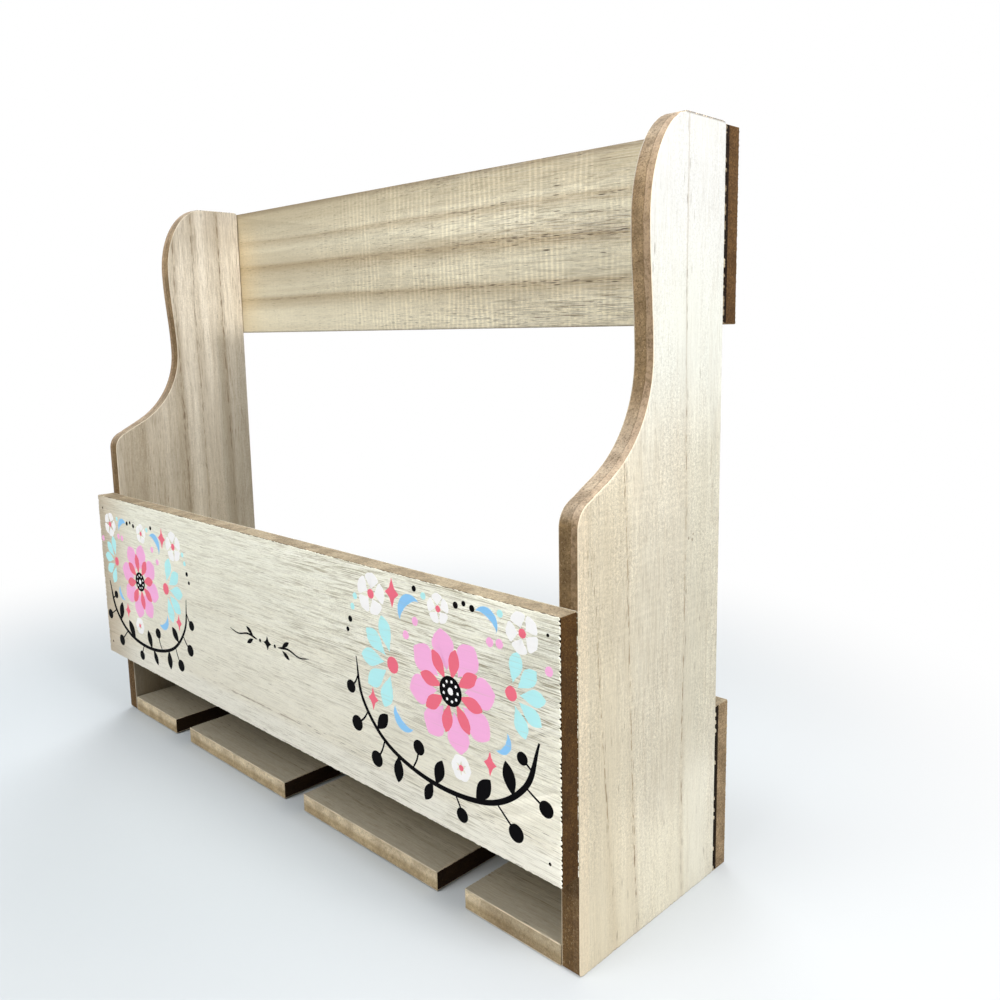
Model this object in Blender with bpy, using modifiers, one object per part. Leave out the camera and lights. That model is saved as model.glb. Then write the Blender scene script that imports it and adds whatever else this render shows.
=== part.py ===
"""A wood rack for wine bottles and stemmed glasses, made of veneered boards.

Two side panels with an S-shaped front edge carry a front board, two back boards, a bottle shelf
and four slats. Glasses slide in over the slats and hang by their feet in the slots between them.
The origin is at the middle of the underside. +Z is up, and the front faces -Y.
"""
import math

import bmesh
import bpy
from mathutils import Matrix, Vector

# Whole rack
RACK_WIDTH = 0.375
RACK_HEIGHT = 0.3175
PANEL_DEPTH = 0.0925

# Board thicknesses
PANEL_THICKNESS = 0.009
FRONT_BOARD_THICKNESS = 0.0098
BACK_BOARD_THICKNESS = 0.0098
SHELF_THICKNESS = 0.009
SLAT_THICKNESS = 0.009

# Heights of the boards and of what lies under them
FRONT_BOARD_HEIGHT = 0.1005
FRONT_BOARD_RAISE = 0.041
SHELF_RAISE_OVER_FRONT_BOARD = 0.002
UPPER_BACK_BOARD_HEIGHT = 0.0775
UPPER_BACK_BOARD_DROP = 0.001
LOWER_BACK_BOARD_HEIGHT = 0.077
SLAT_RAISE = 0.0005

# Slats and the slots for the stems
OUTER_SLAT_WIDTH = 0.0525
STEM_SLOT_WIDTH = 0.0171

# Front edge of a side panel, from the bottom up
SHOULDER_HEIGHT = 0.1695
SHOULDER_RADIUS = 0.010
SWEEP_SLOPE_DEGREES = 28.0
SWEEP_RADIUS = 0.048
NECK_SETBACK = 0.0444
HEAD_SETBACK = 0.0418
HEAD_CURVE_DEPTH = 0.027
HEAD_CURVE_HEIGHT_SHARE = 0.45

# Rounding of corners and edges
PANEL_CORNER_RADIUS = 0.002
BOARD_CORNER_RADIUS = 0.0016
BOARD_CORNER_SEGMENTS = 3
ARRIS_RADIUS = 0.0006
ARRIS_SEGMENTS = 2
ARRIS_ANGLE_DEGREES = 50.0
ARC_STEP_DEGREES = 6.0
LEAN_STEPS = 7

# Glue line between boards, how far a cut runs past the wood, and what counts as one point
CONTACT_GAP = 0.0003
CUT_OVERRUN = 0.002
WELD_DISTANCE = 0.00001
FLAT_DEGREES = 0.5

# Headless pin nails
PIN_RADIUS = 0.0005
PIN_LENGTH = 0.025
PIN_SINK = 0.0008
PIN_TIP_LENGTH = 0.0012
PIN_TIP_RADIUS = 0.00015
PIN_CLEARANCE = 0.0002
PIN_SIDES = 10

# Places of the pin nails
FRONT_PIN_END_INSET = 0.0055
FRONT_PIN_EDGE_INSET = 0.0075
BACK_PIN_EDGE_INSET = 0.016
SHELF_PIN_PLACE_SHARES = (-0.36, -0.12, 0.12, 0.36)
SLAT_PIN_PLACE_SHARES = (-0.3, 0.3)

# Sawtooth hangers on the back of the upper back board
HANGER_LENGTH = 0.044
HANGER_HEIGHT = 0.0085
HANGER_STEEL = 0.0008
HANGER_STANDOFF = 0.0022
HANGER_TAB = 0.009
HANGER_RAMP = 0.003
HANGER_END_INSET = 0.045
HANGER_DROP = 0.011
TOOTH_PITCH = 0.002
TOOTH_TIP = 0.0004
TOOTH_DEPTH = 0.0012

# Nails of the hangers
NAIL_RADIUS = 0.0006
NAIL_LENGTH = 0.008
NAIL_TIP_LENGTH = 0.001
NAIL_HEAD_RADIUS = 0.0015
NAIL_HEAD_HEIGHT = 0.0006
NAIL_CLEARANCE = 0.0003

# Colours, as red, green and blue in linear light
VENEER_PALE = (0.68, 0.62, 0.48)
VENEER_WARM = (0.55, 0.47, 0.33)
SLAT_WOOD = (0.42, 0.35, 0.25)
SHELF_WOOD = (0.50, 0.42, 0.30)
STEEL = (0.55, 0.55, 0.56)

# Places that follow from the sizes
HANGER_PROUD = CONTACT_GAP + HANGER_STANDOFF + HANGER_STEEL
OVERALL_DEPTH = (FRONT_BOARD_THICKNESS + CONTACT_GAP + PANEL_DEPTH + CONTACT_GAP
                 + BACK_BOARD_THICKNESS + HANGER_PROUD)
FRONT_FACE_Y = -OVERALL_DEPTH / 2
FRONT_BOARD_BACK_Y = FRONT_FACE_Y + FRONT_BOARD_THICKNESS
PANEL_FRONT_Y = FRONT_BOARD_BACK_Y + CONTACT_GAP
PANEL_BACK_Y = PANEL_FRONT_Y + PANEL_DEPTH
BACK_BOARD_FRONT_Y = PANEL_BACK_Y + CONTACT_GAP
BACK_FACE_Y = BACK_BOARD_FRONT_Y + BACK_BOARD_THICKNESS
PANEL_CENTRE_X = RACK_WIDTH / 2 - PANEL_THICKNESS / 2
INSIDE_HALF_WIDTH = RACK_WIDTH / 2 - PANEL_THICKNESS - CONTACT_GAP
INNER_SLAT_WIDTH = INSIDE_HALF_WIDTH - OUTER_SLAT_WIDTH - STEM_SLOT_WIDTH * 1.5
SHELF_UNDERSIDE_Z = FRONT_BOARD_RAISE + SHELF_RAISE_OVER_FRONT_BOARD
SHELF_MIDDLE_Z = SHELF_UNDERSIDE_Z + SHELF_THICKNESS / 2
SLAT_MIDDLE_Z = SLAT_RAISE + SLAT_THICKNESS / 2
UPPER_BACK_TOP_Z = RACK_HEIGHT - UPPER_BACK_BOARD_DROP
UPPER_BACK_BOTTOM_Z = UPPER_BACK_TOP_Z - UPPER_BACK_BOARD_HEIGHT

INTO_WOOD_FROM_FRONT = Vector((0, 1, 0))
INTO_WOOD_FROM_BACK = Vector((0, -1, 0))


def clear_scene():
    for scene_object in list(bpy.data.objects):
        bpy.data.objects.remove(scene_object, do_unlink=True)


def make_collection(name):
    collection = bpy.data.collections.new(name)
    bpy.context.scene.collection.children.link(collection)
    return collection


def make_material(name, colour, roughness, metallic=0.0):
    material = bpy.data.materials.new(name)
    material.use_nodes = True
    shader = material.node_tree.nodes["Principled BSDF"]
    shader.inputs["Base Color"].default_value = (*colour, 1.0)
    shader.inputs["Roughness"].default_value = roughness
    shader.inputs["Metallic"].default_value = metallic
    material.diffuse_color = (*colour, 1.0)
    return material


def add_object(name, mesh, collection, material=None):
    scene_object = bpy.data.objects.new(name, mesh)
    collection.objects.link(scene_object)
    if material:
        mesh.materials.append(material)
    return scene_object


def mesh_from(bm, name):
    bmesh.ops.recalc_face_normals(bm, faces=bm.faces)
    mesh = bpy.data.meshes.new(name)
    bm.to_mesh(mesh)
    bm.free()
    return mesh


def soften_arrises(board, radius):
    """Rounds the long edges of a board as sandpaper does."""
    bevel = board.modifiers.new("sanded_arrises", "BEVEL")
    bevel.width = radius
    bevel.segments = ARRIS_SEGMENTS
    bevel.limit_method = "ANGLE"
    bevel.angle_limit = math.radians(ARRIS_ANGLE_DEGREES)


def cut(board, cutter):
    boolean = board.modifiers.new("cut_" + cutter.name, "BOOLEAN")
    boolean.operation = "DIFFERENCE"
    boolean.solver = "EXACT"
    boolean.object = cutter


def make_cutter(name, mesh, collection):
    cutter = add_object(name, mesh, collection)
    cutter.hide_render = True
    cutter.display_type = "WIRE"
    return cutter


def make_board(name, low, high, thin_axis, collection, material):
    """A flat board between two corners, with rounded corners seen along its thin axis."""
    size = high - low
    bm = bmesh.new()
    bmesh.ops.create_cube(bm, size=1)
    bmesh.ops.scale(bm, vec=size, verts=bm.verts)
    corner_edges = [
        edge for edge in bm.edges
        if abs((edge.verts[0].co - edge.verts[1].co).normalized()[thin_axis]) > 0.5
    ]
    bmesh.ops.bevel(bm, geom=corner_edges, offset=BOARD_CORNER_RADIUS,
                    segments=BOARD_CORNER_SEGMENTS, profile=0.5, affect="EDGES")
    board = add_object(name, mesh_from(bm, name), collection, material)
    board.location = (low + high) / 2
    soften_arrises(board, ARRIS_RADIUS)
    return board


def arc(centre, radii, start, end):
    """Points of an arc from one angle to another, in degrees, with both ends."""
    steps = max(2, round(abs(end - start) / ARC_STEP_DEGREES))
    points = []
    for step in range(steps + 1):
        angle = math.radians(start + (end - start) * step / steps)
        points.append((centre[0] + radii[0] * math.cos(angle), centre[1] + radii[1] * math.sin(angle)))
    return points


def front_edge_points():
    """The S-shaped front edge of a side panel, as depth behind its front and height."""
    slope = math.radians(SWEEP_SLOPE_DEGREES)
    shoulder = arc((SHOULDER_RADIUS, SHOULDER_HEIGHT), (SHOULDER_RADIUS, SHOULDER_RADIUS),
                   180, 90 + SWEEP_SLOPE_DEGREES)
    shoulder_end_depth, shoulder_end_height = shoulder[-1]
    sweep_start_depth = NECK_SETBACK - SWEEP_RADIUS * (1 - math.sin(slope))
    sweep_start_height = (shoulder_end_height
                          + (sweep_start_depth - shoulder_end_depth) * math.tan(slope))
    neck_height = sweep_start_height + SWEEP_RADIUS * math.cos(slope)
    sweep = arc((NECK_SETBACK - SWEEP_RADIUS, neck_height), (SWEEP_RADIUS, SWEEP_RADIUS),
                SWEEP_SLOPE_DEGREES - 90, 0)
    head_curve_height = (RACK_HEIGHT - neck_height) * HEAD_CURVE_HEIGHT_SHARE
    head_start_height = RACK_HEIGHT - head_curve_height
    lean = []
    for step in range(1, LEAN_STEPS):
        part_way = step / LEAN_STEPS
        eased = (1 - math.cos(math.pi * part_way)) / 2
        lean.append((NECK_SETBACK + (HEAD_SETBACK - NECK_SETBACK) * eased,
                     neck_height + (head_start_height - neck_height) * part_way))
    head = arc((HEAD_SETBACK + HEAD_CURVE_DEPTH, head_start_height),
               (HEAD_CURVE_DEPTH, head_curve_height), 180, 90)
    return shoulder + sweep + lean + head


def side_panel_outline():
    radius = PANEL_CORNER_RADIUS
    radii = (radius, radius)
    bottom_front = arc((radius, radius), radii, 270, 180)
    top_back = arc((PANEL_DEPTH - radius, RACK_HEIGHT - radius), radii, 90, 0)
    bottom_back = arc((PANEL_DEPTH - radius, radius), radii, 0, -90)
    return bottom_front + front_edge_points() + top_back + bottom_back


def make_side_panel(name, side, collection, material):
    """The flat outline stands on the bench, with its depth along Y and its thickness along X."""
    curve = bpy.data.curves.new(name + "_outline", "CURVE")
    curve.dimensions = "2D"
    curve.fill_mode = "BOTH"
    curve.extrude = PANEL_THICKNESS / 2
    outline = side_panel_outline()
    spline = curve.splines.new("POLY")
    spline.points.add(len(outline) - 1)
    for point, (depth, height) in zip(spline.points, outline):
        point.co = (depth, height, 0, 1)
    spline.use_cyclic_u = True
    guide = add_object(name + "_outline", curve, collection)
    guide.location = (side * PANEL_CENTRE_X, PANEL_FRONT_Y, 0)
    guide.rotation_euler = (math.pi / 2, 0, math.pi / 2)
    bpy.context.view_layer.update()

    mesh = bpy.data.meshes.new_from_object(guide.evaluated_get(bpy.context.evaluated_depsgraph_get()))
    bm = bmesh.new()
    bm.from_mesh(mesh)
    bmesh.ops.remove_doubles(bm, verts=bm.verts, dist=WELD_DISTANCE)
    bmesh.ops.dissolve_limit(bm, angle_limit=math.radians(FLAT_DEGREES), verts=bm.verts, edges=bm.edges)
    panel = add_object(name, mesh_from(bm, name), collection, material)
    panel.matrix_world = guide.matrix_world.copy()
    bpy.data.objects.remove(guide, do_unlink=True)
    soften_arrises(panel, ARRIS_RADIUS)
    return panel


def make_profile(name, points):
    """The half outline of a turned piece, as (radius, distance along its axis), far end first."""
    mesh = bpy.data.meshes.new(name)
    edges = [(start, start + 1) for start in range(len(points) - 1)]
    mesh.from_pydata([(radius, 0, along) for radius, along in points], edges, [])
    return mesh


def make_turned(name, profile, place, direction, collection):
    """A turned piece whose near end is at the given place and whose axis follows the direction."""
    piece = add_object(name, profile, collection)
    piece.location = place
    piece.rotation_euler = direction.to_track_quat("Z", "X").to_euler()
    screw = piece.modifiers.new("turned", "SCREW")
    screw.axis = "Z"
    screw.steps = PIN_SIDES
    screw.render_steps = PIN_SIDES
    screw.use_merge_vertices = True
    screw.merge_threshold = WELD_DISTANCE
    return piece


def make_pins(name, places, direction, profile, collection):
    """Pin nails driven from the given places on a face, each sunk a little below it."""
    for number, place in enumerate(places, start=1):
        make_turned(f"{name}_{number}", profile, place + direction * PIN_SINK, direction, collection)


def make_holes(name, places, direction, radius, depth, collection):
    """One cutter with a round hole at each place, from just outside the face to a depth."""
    length = depth + CUT_OVERRUN
    turn = direction.to_track_quat("Z", "X").to_matrix().to_4x4()
    bm = bmesh.new()
    for place in places:
        middle = place + direction * (depth - CUT_OVERRUN) / 2
        bmesh.ops.create_cone(bm, cap_ends=True, segments=PIN_SIDES, radius1=radius, radius2=radius,
                              depth=length, matrix=Matrix.Translation(middle) @ turn)
    return make_cutter(name, mesh_from(bm, name), collection)


def pin_profile(material):
    profile = make_profile("pin_profile", [
        (0, PIN_LENGTH),
        (PIN_TIP_RADIUS, PIN_LENGTH),
        (PIN_RADIUS, PIN_LENGTH - PIN_TIP_LENGTH),
        (PIN_RADIUS, 0),
        (0, 0),
    ])
    profile.materials.append(material)
    return profile


def nail_profile(material):
    length = NAIL_HEAD_HEIGHT + NAIL_LENGTH
    profile = make_profile("nail_profile", [
        (0, length),
        (NAIL_RADIUS, length - NAIL_TIP_LENGTH),
        (NAIL_RADIUS, NAIL_HEAD_HEIGHT),
        (NAIL_HEAD_RADIUS, NAIL_HEAD_HEIGHT),
        (NAIL_HEAD_RADIUS, 0),
        (0, 0),
    ])
    profile.materials.append(material)
    return profile


def front_pin_places():
    low = FRONT_BOARD_RAISE + FRONT_PIN_EDGE_INSET
    high = FRONT_BOARD_RAISE + FRONT_BOARD_HEIGHT - FRONT_PIN_EDGE_INSET
    x = RACK_WIDTH / 2 - FRONT_PIN_END_INSET
    return [Vector((side * x, FRONT_FACE_Y, z)) for side in (-1, 1) for z in (low, high)]


def back_pin_places(bottom, top):
    heights = (bottom + BACK_PIN_EDGE_INSET, top - BACK_PIN_EDGE_INSET)
    return [Vector((side * PANEL_CENTRE_X, BACK_FACE_Y, z)) for side in (-1, 1) for z in heights]


def shelf_pin_places():
    return [Vector((share * 2 * INSIDE_HALF_WIDTH, BACK_FACE_Y, SHELF_MIDDLE_Z))
            for share in SHELF_PIN_PLACE_SHARES]


def slat_spans():
    """Name, left end and right end of each slat."""
    half_slot = STEM_SLOT_WIDTH / 2
    inner_end = half_slot + INNER_SLAT_WIDTH
    return (
        ("slat_left_outer", -INSIDE_HALF_WIDTH, OUTER_SLAT_WIDTH - INSIDE_HALF_WIDTH),
        ("slat_left_inner", -inner_end, -half_slot),
        ("slat_right_inner", half_slot, inner_end),
        ("slat_right_outer", INSIDE_HALF_WIDTH - OUTER_SLAT_WIDTH, INSIDE_HALF_WIDTH),
    )


def slat_pin_places():
    places = []
    for _, left, right in slat_spans():
        for share in SLAT_PIN_PLACE_SHARES:
            x = (left + right) / 2 + share * (right - left)
            places.append(Vector((x, BACK_FACE_Y, SLAT_MIDDLE_Z)))
    return places


def make_front_board(collection, material):
    low = Vector((-RACK_WIDTH / 2, FRONT_FACE_Y, FRONT_BOARD_RAISE))
    high = Vector((RACK_WIDTH / 2, FRONT_BOARD_BACK_Y, FRONT_BOARD_RAISE + FRONT_BOARD_HEIGHT))
    return make_board("front_board", low, high, 1, collection, material)


def make_back_board(name, bottom, top, collection, material):
    low = Vector((-RACK_WIDTH / 2, BACK_BOARD_FRONT_Y, bottom))
    high = Vector((RACK_WIDTH / 2, BACK_FACE_Y, top))
    return make_board(name, low, high, 1, collection, material)


def make_shelf(collection, material):
    low = Vector((-INSIDE_HALF_WIDTH, FRONT_BOARD_BACK_Y + CONTACT_GAP, SHELF_UNDERSIDE_Z))
    high = Vector((INSIDE_HALF_WIDTH, BACK_BOARD_FRONT_Y - CONTACT_GAP,
                   SHELF_UNDERSIDE_Z + SHELF_THICKNESS))
    return make_board("bottle_shelf", low, high, 2, collection, material)


def make_slats(collection, material):
    slats = []
    for name, left, right in slat_spans():
        low = Vector((left, PANEL_FRONT_Y, SLAT_RAISE))
        high = Vector((right, BACK_BOARD_FRONT_Y - CONTACT_GAP, SLAT_RAISE + SLAT_THICKNESS))
        slats.append(make_board(name, low, high, 2, collection, material))
    return slats


def hanger_centre(side):
    return Vector((side * (RACK_WIDTH / 2 - HANGER_END_INSET), BACK_FACE_Y + CONTACT_GAP,
                   UPPER_BACK_TOP_Z - HANGER_DROP))


def hanger_nail_places():
    """Centres of the nail holes, on the outer face of each tab."""
    reach = HANGER_LENGTH / 2 - HANGER_TAB / 2
    places = []
    for side in (-1, 1):
        for end in (-1, 1):
            places.append(hanger_centre(side) + Vector((end * reach, HANGER_STEEL, 0)))
    return places


def make_hanger_teeth_cutter(collection):
    """A row of V notches along the lower edge of each raised strip."""
    raised_half = HANGER_LENGTH / 2 - HANGER_TAB - HANGER_RAMP
    count = int(2 * raised_half / TOOTH_PITCH)
    notch_half = (TOOTH_PITCH - TOOTH_TIP) / 2
    squash = Matrix.Diagonal((notch_half / TOOTH_DEPTH, 1, 1, 1))
    through_steel = Matrix.Rotation(math.pi / 2, 4, "X") @ squash
    bm = bmesh.new()
    for side in (-1, 1):
        centre = hanger_centre(side)
        for notch in range(count):
            place = centre + Vector(((notch - (count - 1) / 2) * TOOTH_PITCH,
                                     HANGER_STANDOFF + HANGER_STEEL / 2, -HANGER_HEIGHT / 2))
            bmesh.ops.create_cone(bm, cap_ends=True, segments=4, radius1=TOOTH_DEPTH,
                                  radius2=TOOTH_DEPTH, depth=HANGER_STEEL + CUT_OVERRUN,
                                  matrix=Matrix.Translation(place) @ through_steel)
    return make_cutter("hanger_teeth_cutter", mesh_from(bm, "hanger_teeth_cutter"), collection)


def make_hanger(name, side, collection, material):
    """A strip of steel with two flat tabs and a raised middle, bent from one piece."""
    half = HANGER_LENGTH / 2
    bend = half - HANGER_TAB
    rise = bend - HANGER_RAMP
    low = HANGER_STEEL / 2
    high = low + HANGER_STANDOFF
    profile = ((-half, low), (-bend, low), (-rise, high), (rise, high), (bend, low), (half, low))
    bm = bmesh.new()
    bottom = [bm.verts.new((x, y, -HANGER_HEIGHT / 2)) for x, y in profile]
    edges = [bm.edges.new(pair) for pair in zip(bottom, bottom[1:])]
    raised = bmesh.ops.extrude_edge_only(bm, edges=edges)["geom"]
    raised_verts = [item for item in raised if isinstance(item, bmesh.types.BMVert)]
    bmesh.ops.translate(bm, vec=(0, 0, HANGER_HEIGHT), verts=raised_verts)
    hanger = add_object(name, mesh_from(bm, name), collection, material)
    hanger.location = hanger_centre(side)
    shell = hanger.modifiers.new("steel", "SOLIDIFY")
    shell.thickness = HANGER_STEEL
    shell.offset = 0
    shell.use_even_offset = True
    return hanger


def make_hanger_nails(profile, collection):
    stand_clear = CONTACT_GAP + NAIL_HEAD_HEIGHT
    for number, place in enumerate(hanger_nail_places(), start=1):
        head_top = place - INTO_WOOD_FROM_BACK * stand_clear
        make_turned(f"hanger_nail_{number}", profile, head_top, INTO_WOOD_FROM_BACK, collection)


def build():
    clear_scene()
    rack = make_collection("bottle_and_glass_rack")
    cutters = make_collection("rack_cutters")

    panel_veneer = make_material("side_veneer", VENEER_PALE, 0.6)
    front_veneer = make_material("front_veneer", VENEER_PALE, 0.6)
    back_veneer = make_material("back_veneer", VENEER_WARM, 0.6)
    shelf_veneer = make_material("shelf_veneer", SHELF_WOOD, 0.65)
    slat_veneer = make_material("slat_veneer", SLAT_WOOD, 0.65)
    pin_steel = make_material("pin_steel", STEEL, 0.4, 1.0)
    hanger_steel = make_material("hanger_steel", STEEL, 0.3, 1.0)

    panels = [make_side_panel("side_panel_left", -1, rack, panel_veneer),
              make_side_panel("side_panel_right", 1, rack, panel_veneer)]
    front = make_front_board(rack, front_veneer)
    upper = make_back_board("upper_back_board", UPPER_BACK_BOTTOM_Z, UPPER_BACK_TOP_Z, rack, back_veneer)
    lower = make_back_board("lower_back_board", 0, LOWER_BACK_BOARD_HEIGHT, rack, back_veneer)
    shelf = make_shelf(rack, shelf_veneer)
    slats = make_slats(rack, slat_veneer)

    pinned = (
        ("front_board_pin", front_pin_places(), INTO_WOOD_FROM_FRONT, [front] + panels),
        ("upper_back_board_pin", back_pin_places(UPPER_BACK_BOTTOM_Z, UPPER_BACK_TOP_Z),
         INTO_WOOD_FROM_BACK, [upper] + panels),
        ("lower_back_board_pin", back_pin_places(0, LOWER_BACK_BOARD_HEIGHT),
         INTO_WOOD_FROM_BACK, [lower] + panels),
        ("shelf_pin", shelf_pin_places(), INTO_WOOD_FROM_BACK, [lower, shelf]),
        ("slat_pin", slat_pin_places(), INTO_WOOD_FROM_BACK, [lower] + slats),
    )
    pin = pin_profile(pin_steel)
    hole_depth = PIN_SINK + PIN_LENGTH + CONTACT_GAP
    for name, places, direction, boards in pinned:
        make_pins(name, places, direction, pin, rack)
        holes = make_holes(name + "_holes", places, direction, PIN_RADIUS + PIN_CLEARANCE,
                           hole_depth, cutters)
        for board in boards:
            cut(board, holes)

    hangers = [make_hanger("hanger_left", -1, rack, hanger_steel),
               make_hanger("hanger_right", 1, rack, hanger_steel)]
    make_hanger_nails(nail_profile(hanger_steel), rack)
    nail_holes = make_holes("hanger_nail_holes", hanger_nail_places(), INTO_WOOD_FROM_BACK,
                            NAIL_RADIUS + NAIL_CLEARANCE, NAIL_LENGTH + CONTACT_GAP, cutters)
    teeth = make_hanger_teeth_cutter(cutters)
    for hanger in hangers:
        cut(hanger, nail_holes)
        cut(hanger, teeth)
    cut(upper, nail_holes)


build()
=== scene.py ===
"""Looks of the wood rack for bottles and stemmed glasses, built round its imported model.

Every board is rebuilt as the laminate it is: a fibreboard core between two skins of pale veneer,
whose ends are chipped where a saw crossed the grain. The front carries a printed ornament.
"""
import math
import random

import bmesh
import bpy
from mathutils import Matrix, Vector


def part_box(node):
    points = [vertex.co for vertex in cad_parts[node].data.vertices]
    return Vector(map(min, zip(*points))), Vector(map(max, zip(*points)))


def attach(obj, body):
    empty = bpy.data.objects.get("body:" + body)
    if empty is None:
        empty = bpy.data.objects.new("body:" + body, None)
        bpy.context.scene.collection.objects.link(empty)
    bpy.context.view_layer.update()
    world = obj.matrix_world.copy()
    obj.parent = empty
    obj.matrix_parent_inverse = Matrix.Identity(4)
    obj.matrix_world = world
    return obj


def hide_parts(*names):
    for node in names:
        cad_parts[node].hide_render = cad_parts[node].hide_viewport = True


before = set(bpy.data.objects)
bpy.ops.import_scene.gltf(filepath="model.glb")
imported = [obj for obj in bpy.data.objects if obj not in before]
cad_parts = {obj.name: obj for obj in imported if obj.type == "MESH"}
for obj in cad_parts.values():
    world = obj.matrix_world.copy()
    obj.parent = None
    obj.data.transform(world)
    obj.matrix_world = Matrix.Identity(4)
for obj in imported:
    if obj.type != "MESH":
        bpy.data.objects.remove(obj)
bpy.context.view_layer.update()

MM = 0.001

# Laminate: its layers and corners, the chips along cut ends, and the torn core behind them
SKIN = 0.5 * MM
GLUE_LINE = 0.01 * MM
CORE_INSET = 0.06 * MM
ARRIS = 0.35 * MM
ARRIS_STEPS = 4
CORNER = 0.6 * MM
CORNER_STEPS = 4
CHIP_PITCH = 0.46 * MM
PLAIN_PITCH = 5 * MM
FRAYED_PITCH = 1.1 * MM
CHIP_DEPTH = 1.5 * MM
CHIP_REST = 0.10 * MM
CROSSING_GAIN = 1.6
CROSSING_START = 0.25
CROSSING_MIDDLE = 0.5
TOOTH_POINTS = 4
LEAST_NOTCH_SHARE = 0.3
NOTCH_CURVE = 1.4
TOOTH_SHAPE_SHARES = (1.0, 0.35, 0.0, 0.0)
SHALLOW_NOTCH_SHARE = 0.12
SHALLOW_NOTCH_CHANCE = 0.18
LOST_TEETH = 2.2
LOST_TOOTH_SHARE = 0.85
JITTER = 0.02 * MM
TEAR_HEIGHT = 1.5 * MM
TEAR_DEPTH = 1.5 * MM
LEAST_TEAR_SHARE = 0.6
TEAR_SPREAD_SHARE = 0.7
SAME_POINT = 0.01 * MM
SHARP_ANGLE = 38

# Front edge of a side panel, the same sizes as in the part
PANEL_DEPTH = 92.5 * MM
PANEL_HEIGHT = 317.5 * MM
PANEL_CORNER = 2 * MM
SHOULDER_HEIGHT = 169.5 * MM
SHOULDER_RADIUS = 10 * MM
SWEEP_SLOPE = 28
SWEEP_RADIUS = 48 * MM
NECK_SETBACK = 44.4 * MM
HEAD_SETBACK = 41.8 * MM
HEAD_CURVE_DEPTH = 27 * MM
HEAD_CURVE_SHARE = 0.45

# The head's curve aims a little above the flat top, so that it meets it at a slight angle
HEAD_OVERSHOOT = 1.012
LEAN_STEPS = 24
ARC_STEP = 2.5
SMALL_ARC_STEP = 15

# Nail holes
PIN_HOLE_RADIUS = 0.7 * MM
NAIL_HOLE_RADIUS = 0.9 * MM
PIN_SINK = 0.8 * MM
HOLE_OVERRUN = 2 * MM
HOLE_CLEARANCE = 0.3 * MM
HOLE_SIDES = 16


def srgb(red, green, blue):
    """A colour as it is read off a screen, from 0 to 255, in linear light."""
    linear = []
    for channel in (red, green, blue):
        share = channel / 255
        linear.append(share / 12.92 if share <= 0.04045 else ((share + 0.055) / 1.055) ** 2.4)
    return (*linear, 1.0)


class Graph:
    """A node tree, and short ways to add nodes to it. Sockets, numbers and colours are all inputs."""

    def __init__(self, owner):
        owner.use_nodes = True
        self.nodes = owner.node_tree.nodes
        self.links = owner.node_tree.links

    def feed(self, socket, value):
        """Links a socket, or sets its number or its colour, whose parts count from 0 to 255."""
        if isinstance(value, bpy.types.NodeSocket):
            self.links.new(value, socket)
        else:
            socket.default_value = srgb(*value) if isinstance(value, tuple) else value

    def add(self, kind, *values, **settings):
        """A new node with these settings, and these values on its first inputs."""
        node = self.nodes.new("ShaderNode" + kind)
        for setting, choice in settings.items():
            setattr(node, setting, choice)
        for socket, value in zip(node.inputs, values):
            self.feed(socket, value)
        return node

    def math(self, operation, *values):
        return self.add("Math", *values, operation=operation).outputs[0]

    def times(self, first, second):
        return self.math("MULTIPLY", first, second)

    def minus(self, first, second):
        return self.math("SUBTRACT", first, second)

    def over(self, base, value, factor):
        """The value times the factor, on top of the base."""
        return self.math("MULTIPLY_ADD", value, factor, base)

    def vary(self, texture, amount, base):
        """The base, moved up and down by the amount where the texture is above or below its middle."""
        return self.over(base, self.minus(texture, 0.5), amount)

    def fit(self, value, low, high, to_low=0.0, to_high=1.0):
        """A smooth step from one range to another."""
        return self.add("MapRange", value, low, high, to_low, to_high,
                        interpolation_type="SMOOTHSTEP").outputs[0]

    def vector(self, *parts):
        return self.add("CombineXYZ", *parts).outputs[0]

    def split(self, vector):
        return list(self.add("SeparateXYZ", vector).outputs)

    def join(self, share, first, second):
        """A mix of two shaders."""
        return self.add("MixShader", share, first.outputs[0], second.outputs[0])

    def looked_at(self):
        """1 for what the eye sees, also in a mirror, and 0 for the light that is sent to other things."""
        rays = self.add("LightPath")
        return self.math("MAXIMUM", rays.outputs["Is Camera Ray"], rays.outputs["Is Glossy Ray"])


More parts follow.
